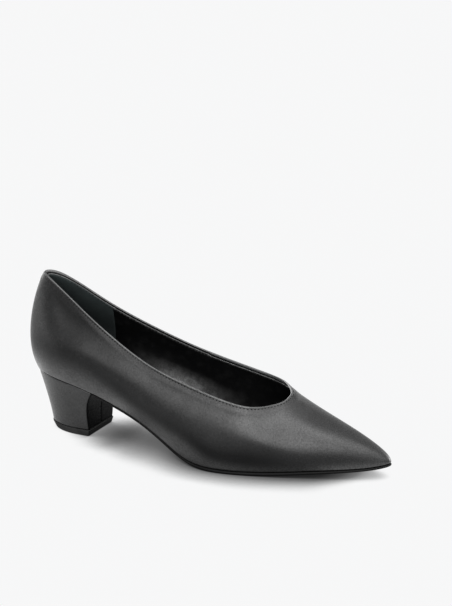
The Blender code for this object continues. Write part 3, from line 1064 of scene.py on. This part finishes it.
# Floor
# A pale seamless sweep that glows evenly, as on a light table, so only the places close under the
# shoe are dark. The shadow is held back at the heel, under the arch and at the toe.

FLOOR_HALF = 6.0
FLOOR_DROP = 0.1 * MM
PALE = (0.930, 0.932, 0.935)
SHADOW_REACH = 36 * MM
SHADOW_SAMPLES = 16
# How open a place is to the room, and its level of light
SHADE = ((0.0, 0.02), (0.3, 0.08), (0.52, 0.19), (0.70, 0.48), (0.86, 1.0))
HEEL_FADE = (-100 * MM, -52 * MM)
HEEL_SHADOW = 0.25
TOE_FADE = (82 * MM, 118 * MM)
TOE_HELD_BACK = 0.85
ARCH_MIDDLE = -22 * MM
ARCH_REACH = 42 * MM
ARCH_HELD_BACK = 0.32
SHADOW_DEPTH = 1.12

shell = bmesh.new()
bmesh.ops.create_grid(shell, x_segments=1, y_segments=1, size=FLOOR_HALF)
bmesh.ops.translate(shell, verts=shell.verts, vec=(0, 0, -FLOOR_DROP))
floor = make_piece("floor", shell)
sweep, shader, place = start_finish("lit_sweep")
free = place.node(
    "ShaderNodeAmbientOcclusion", {"samples": SHADOW_SAMPLES}, {"Distance": SHADOW_REACH}, "AO"
)
along = place.node("ShaderNodeSeparateXYZ", {}, {0: place}, "X")
before_toe = 1 - TOE_HELD_BACK * along.spread(*TOE_FADE)
depth = HEEL_SHADOW + (1 - HEEL_SHADOW) * along.spread(*HEEL_FADE) * before_toe
depth = depth * (SHADOW_DEPTH - ARCH_HELD_BACK * along.bell(ARCH_MIDDLE, ARCH_REACH))
free = 1 - (1 - free) * depth
shade = [(openness, [level * channel for channel in PALE]) for openness, level in SHADE]
feed(tinted(free, shade), shader, "Emission Color")
set_sockets(shader, {"Emission Strength": 1, "Base Color": (0, 0, 0, 1), "Specular IOR Level": 0})
sweep.cycles.emission_sampling = "NONE"
floor.data.materials.append(sweep)


# Studio light
# Six large soft panels in a dark room: two in front, one high on the right, one overhead and a lit
# wall behind each end of the shoe. The camera itself sees only the pale sweep.

# Azimuth, elevation and spread are in degrees
Panel = namedtuple("Panel", "name azimuth elevation spread strength")
PANELS = (
    Panel("front", 14, 28, 17, 5.4),
    Panel("front_left", 340, 24, 9.5, 3.2),
    Panel("right_high", 64, 49, 20, 3.6),
    Panel("overhead", 0, 90, 19, 5.5),
    Panel("left_wall", 246, 4, 27, 4.8),
    Panel("right_wall", 143, 12, 15, 7.0),
)


def ways(azimuth, elevation):
    """Right, up and back ways of a view from an azimuth and elevation in degrees."""
    turn = math.radians(azimuth)
    tilt = math.radians(elevation)
    back = Vector((math.sin(turn) * math.cos(tilt), -math.cos(turn) * math.cos(tilt), math.sin(tilt)))
    right = Vector((math.cos(turn), math.sin(turn), 0))
    return right, back.cross(right), back


world = bpy.data.worlds.new("studio")
world.use_nodes = True
bpy.context.scene.world = world
room = Wire(world.node_tree, None)
sight = room.node("ShaderNodeTexCoord", {}, {}, "Generated")
glow = 0
for panel in PANELS:
    toward = ways(panel.azimuth, panel.elevation)[2]
    facing = room.node(
        "ShaderNodeVectorMath", {"operation": "DOT_PRODUCT"}, {0: sight, 1: toward}, "Value"
    )
    falloff = (facing - 1) * (1 / math.radians(panel.spread) ** 2)
    glow = glow + room.math("EXPONENT", falloff, 0) * panel.strength
seen = room.node("ShaderNodeLightPath", {}, {}, "Is Camera Ray")
shine = room.node("ShaderNodeMix", {"data_type": "RGBA"}, {0: seen, 6: glow, 7: (*PALE, 1)}, 2)
feed(shine, world.node_tree.nodes["Background"], "Color")


# Camera
# A long lens from the front of the outer side, a little above the shoe and slightly rolled. Its focal
# length is given in pixels of the picture's 606 rows.

CAMERA_AZIMUTH = 24.46
CAMERA_ELEVATION = 16.96
CAMERA_ROLL = -0.41
CAMERA_DISTANCE = 1.218
CAMERA_TARGET = Vector((8.6, 14.3, 97.2)) * MM
CAMERA_NEAR = 0.05
CAMERA_FAR = 30
SENSOR = 36.0
FOCAL_PIXELS = 1870
FRAME_HEIGHT = 606

lens = bpy.data.cameras.new("camera")
lens.sensor_width = SENSOR
lens.lens = SENSOR * FOCAL_PIXELS / FRAME_HEIGHT
lens.clip_start = CAMERA_NEAR
lens.clip_end = CAMERA_FAR
camera = bpy.data.objects.new("camera", lens)
right, up, back = ways(CAMERA_AZIMUTH, CAMERA_ELEVATION)
roll = math.radians(CAMERA_ROLL)
rolled_right = math.cos(roll) * right - math.sin(roll) * up
rolled_up = math.sin(roll) * right + math.cos(roll) * up
stand = Matrix((rolled_right, rolled_up, back)).transposed().to_4x4()
stand.translation = CAMERA_TARGET + back * CAMERA_DISTANCE
camera.matrix_world = stand
bpy.context.scene.collection.objects.link(camera)
bpy.context.scene.camera = camera
bpy.context.scene.view_settings.view_transform = "Standard"
